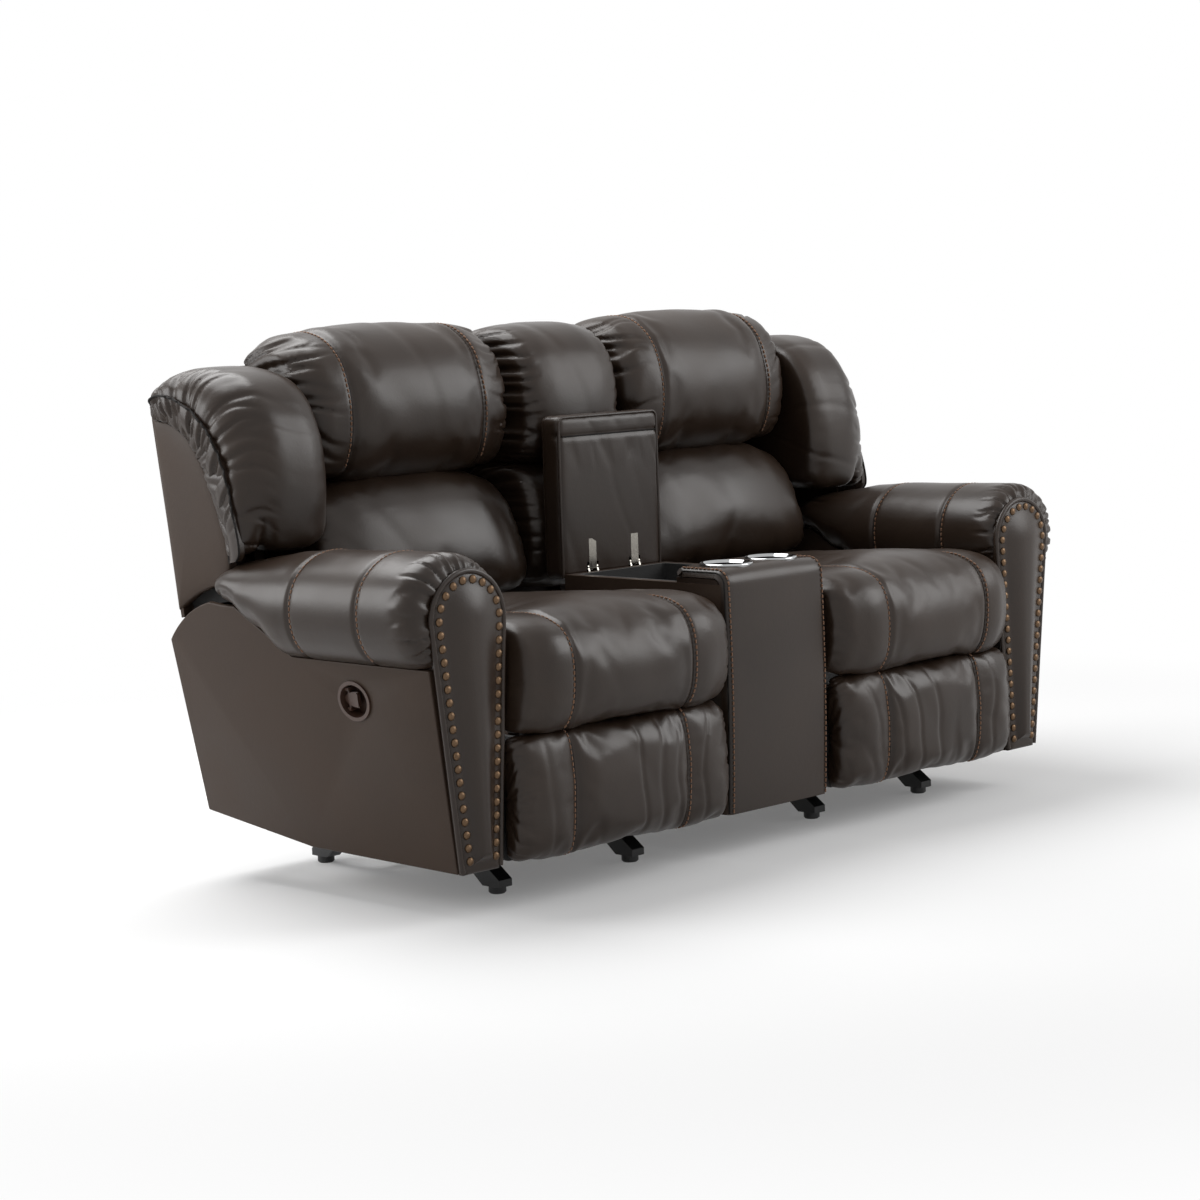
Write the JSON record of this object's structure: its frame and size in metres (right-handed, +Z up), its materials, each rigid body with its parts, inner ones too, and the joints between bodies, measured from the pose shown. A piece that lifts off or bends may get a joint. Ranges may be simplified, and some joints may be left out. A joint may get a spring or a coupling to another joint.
{
  "type": "rocker recliner loveseat",
  "caption": "leather loveseat with two reclining seats, fold-out footrests, rolled arms, a padded console with cup holders and a lift-up storage lid, on rocker bases",
  "frame": {"origin": "centre of the footprint on the floor, with the lid open and the footrests stowed", "axes": "+X to the viewer's right along the width, seats face -Y, +Z up"},
  "size_m": [1.94, 0.8799, 1.0798],
  "materials": {
    "brown_leather": "dark brown bonded leather, semi-gloss",
    "black_steel": "black powder coat",
    "spring_steel": "coil spring steel",
    "black_plastic": "moulded black plastic",
    "plywood": "bare plywood",
    "bin_lining": "black lining cloth",
    "chrome_trim": "polished chrome",
    "hinge_steel": "nickel-plated steel",
    "brown_plastic": "moulded brown plastic",
    "webbing": "woven seat webbing"
  },
  "bodies": {
    "rocker_bases": {"base_rails": "black_steel", "base_cross_tubes": "black_steel", "base_glides": "black_plastic", "rocker_springs": "spring_steel"},
    "rocking_frame": {"rocker_cams": "plywood", "mechanism_tubes": "black_steel", "mechanism_plates": "black_steel", "frame_rails": "plywood", "left_arm_panel": "brown_leather", "left_arm_frame": "plywood", "left_arm_roll": "brown_leather", "left_arm_facing": "brown_leather", "right_arm_panel": "brown_leather", "right_arm_frame": "plywood", "right_arm_roll": "brown_leather", "right_arm_facing": "brown_leather", "handle_bezels": "brown_plastic", "console_body": "brown_leather", "console_bin": "bin_lining", "console_top": "brown_leather", "cup_holders": "chrome_trim", "lid_hinge_brackets": "hinge_steel", "centre_back_frame": "plywood", "centre_lumbar": "brown_leather", "centre_head": "brown_leather"},
    "console_lid": {"console_lid": "brown_leather", "lid_hinge_straps": "hinge_steel"},
    "left_paddle": {"left_paddle": "brown_plastic"},
    "left_back": {"left_back_frame": "plywood", "left_back_hinges": "black_steel", "left_back_shell": "brown_leather", "left_wing_cushion": "brown_leather", "left_lumbar_cushion": "brown_leather", "left_head_pillow": "brown_leather"},
    "left_seat": {"left_seat_frame": "black_steel", "left_seat_webbing": "webbing", "left_seat_cushion": "brown_leather"},
    "left_swing_link": {"left_swing_link": "black_steel"},
    "left_rear_link": {"left_rear_link": "black_steel"},
    "left_carrier_link": {"left_carrier_link": "black_steel"},
    "left_control_link": {"left_control_link": "black_steel"},
    "left_footrest": {"left_footrest_board": "plywood", "left_footrest_cushion": "brown_leather"},
    "right_paddle": {"right_paddle": "brown_plastic"},
    "right_back": {"right_back_frame": "plywood", "right_back_hinges": "black_steel", "right_back_shell": "brown_leather", "right_wing_cushion": "brown_leather", "right_lumbar_cushion": "brown_leather", "right_head_pillow": "brown_leather"},
    "right_seat": {"right_seat_frame": "black_steel", "right_seat_webbing": "webbing", "right_seat_cushion": "brown_leather"},
    "right_swing_link": {"right_swing_link": "black_steel"},
    "right_rear_link": {"right_rear_link": "black_steel"},
    "right_carrier_link": {"right_carrier_link": "black_steel"},
    "right_control_link": {"right_control_link": "black_steel"},
    "right_footrest": {"right_footrest_board": "plywood", "right_footrest_cushion": "brown_leather"}
  },
  "joints": [
    {"name": "rock", "type": "hinge", "parent": "rocker_bases", "child": "rocking_frame", "pos_m": [0, 0.025, 0.4], "axis": [1, 0, 0], "range_deg": [-8, 6], "stiffness_Nm_per_rad": 2500, "deforming": ["rocker_springs"]},
    {"name": "console_lid", "type": "hinge", "parent": "rocking_frame", "child": "console_lid", "pos_m": [0, 0.07, 0.553], "axis": [1, 0, 0], "range_deg": [0, 90]},
    {"name": "left_recline", "type": "hinge", "parent": "rocking_frame", "child": "left_back", "pos_m": [-0.4585, 0.19, 0.3], "axis": [-1, 0, 0], "range_deg": [0, 36]},
    {"name": "left_seat_glide", "type": "slide", "parent": "rocking_frame", "child": "left_seat", "axis": [0, -1, 0], "range_m": [0, 0.04]},
    {"name": "left_footrest_swing", "type": "hinge", "parent": "rocking_frame", "child": "left_swing_link", "pos_m": [-0.4585, -0.222, 0.317], "axis": [-1, 0, 0], "range_deg": [0, 95]},
    {"name": "left_rear_swing", "type": "hinge", "parent": "rocking_frame", "child": "left_rear_link", "pos_m": [-0.4585, -0.157, 0.322], "axis": [-1, 0, 0], "range_deg": [0, 95]},
    {"name": "left_carrier_turn", "type": "hinge", "parent": "left_swing_link", "child": "left_carrier_link", "pos_m": [-0.4585, -0.10759, 0.11059], "axis": [-1, 0, 0], "range_deg": [-95, 0]},
    {"name": "left_control_turn", "type": "hinge", "parent": "left_swing_link", "child": "left_control_link", "pos_m": [-0.4585, -0.10759, 0.16359], "axis": [-1, 0, 0], "range_deg": [-95, 0]},
    {"name": "left_footrest_turn", "type": "hinge", "parent": "left_carrier_link", "child": "left_footrest", "pos_m": [-0.4585, -0.32582, 0.23659], "axis": [-1, 0, 0], "range_deg": [0, 95]},
    {"name": "left_paddle", "type": "hinge", "parent": "rocking_frame", "child": "left_paddle", "pos_m": [-0.89497, -0.121, 0.39547], "axis": [0.1323, 0, -0.9912], "range_deg": [0, 28], "stiffness_Nm_per_rad": 0.15},
    {"name": "right_recline", "type": "hinge", "parent": "rocking_frame", "child": "right_back", "pos_m": [0.4585, 0.19, 0.3], "axis": [-1, 0, 0], "range_deg": [0, 36]},
    {"name": "right_seat_glide", "type": "slide", "parent": "rocking_frame", "child": "right_seat", "axis": [0, -1, 0], "range_m": [0, 0.04]},
    {"name": "right_footrest_swing", "type": "hinge", "parent": "rocking_frame", "child": "right_swing_link", "pos_m": [0.4585, -0.222, 0.317], "axis": [-1, 0, 0], "range_deg": [0, 95]},
    {"name": "right_rear_swing", "type": "hinge", "parent": "rocking_frame", "child": "right_rear_link", "pos_m": [0.4585, -0.157, 0.322], "axis": [-1, 0, 0], "range_deg": [0, 95]},
    {"name": "right_carrier_turn", "type": "hinge", "parent": "right_swing_link", "child": "right_carrier_link", "pos_m": [0.4585, -0.10759, 0.11059], "axis": [-1, 0, 0], "range_deg": [-95, 0]},
    {"name": "right_control_turn", "type": "hinge", "parent": "right_swing_link", "child": "right_control_link", "pos_m": [0.4585, -0.10759, 0.16359], "axis": [-1, 0, 0], "range_deg": [-95, 0]},
    {"name": "right_footrest_turn", "type": "hinge", "parent": "right_carrier_link", "child": "right_footrest", "pos_m": [0.4585, -0.32582, 0.23659], "axis": [-1, 0, 0], "range_deg": [0, 95]},
    {"name": "right_paddle", "type": "hinge", "parent": "rocking_frame", "child": "right_paddle", "pos_m": [0.89497, -0.121, 0.39547], "axis": [0.1323, 0, 0.9912], "range_deg": [0, 28], "stiffness_Nm_per_rad": 0.15}
  ],
  "couplings": [
    {"joint": "left_seat_glide", "follows": "left_recline", "m_per_rad": 0.0636},
    {"joint": "left_rear_swing", "follows": "left_footrest_swing", "ratio": 1},
    {"joint": "left_carrier_turn", "follows": "left_footrest_swing", "ratio": -1},
    {"joint": "left_control_turn", "follows": "left_footrest_swing", "ratio": -1},
    {"joint": "left_footrest_turn", "follows": "left_footrest_swing", "ratio": 1},
    {"joint": "right_seat_glide", "follows": "right_recline", "m_per_rad": 0.0636},
    {"joint": "right_rear_swing", "follows": "right_footrest_swing", "ratio": 1},
    {"joint": "right_carrier_turn", "follows": "right_footrest_swing", "ratio": -1},
    {"joint": "right_control_turn", "follows": "right_footrest_swing", "ratio": -1},
    {"joint": "right_footrest_turn", "follows": "right_footrest_swing", "ratio": 1}
  ]
}
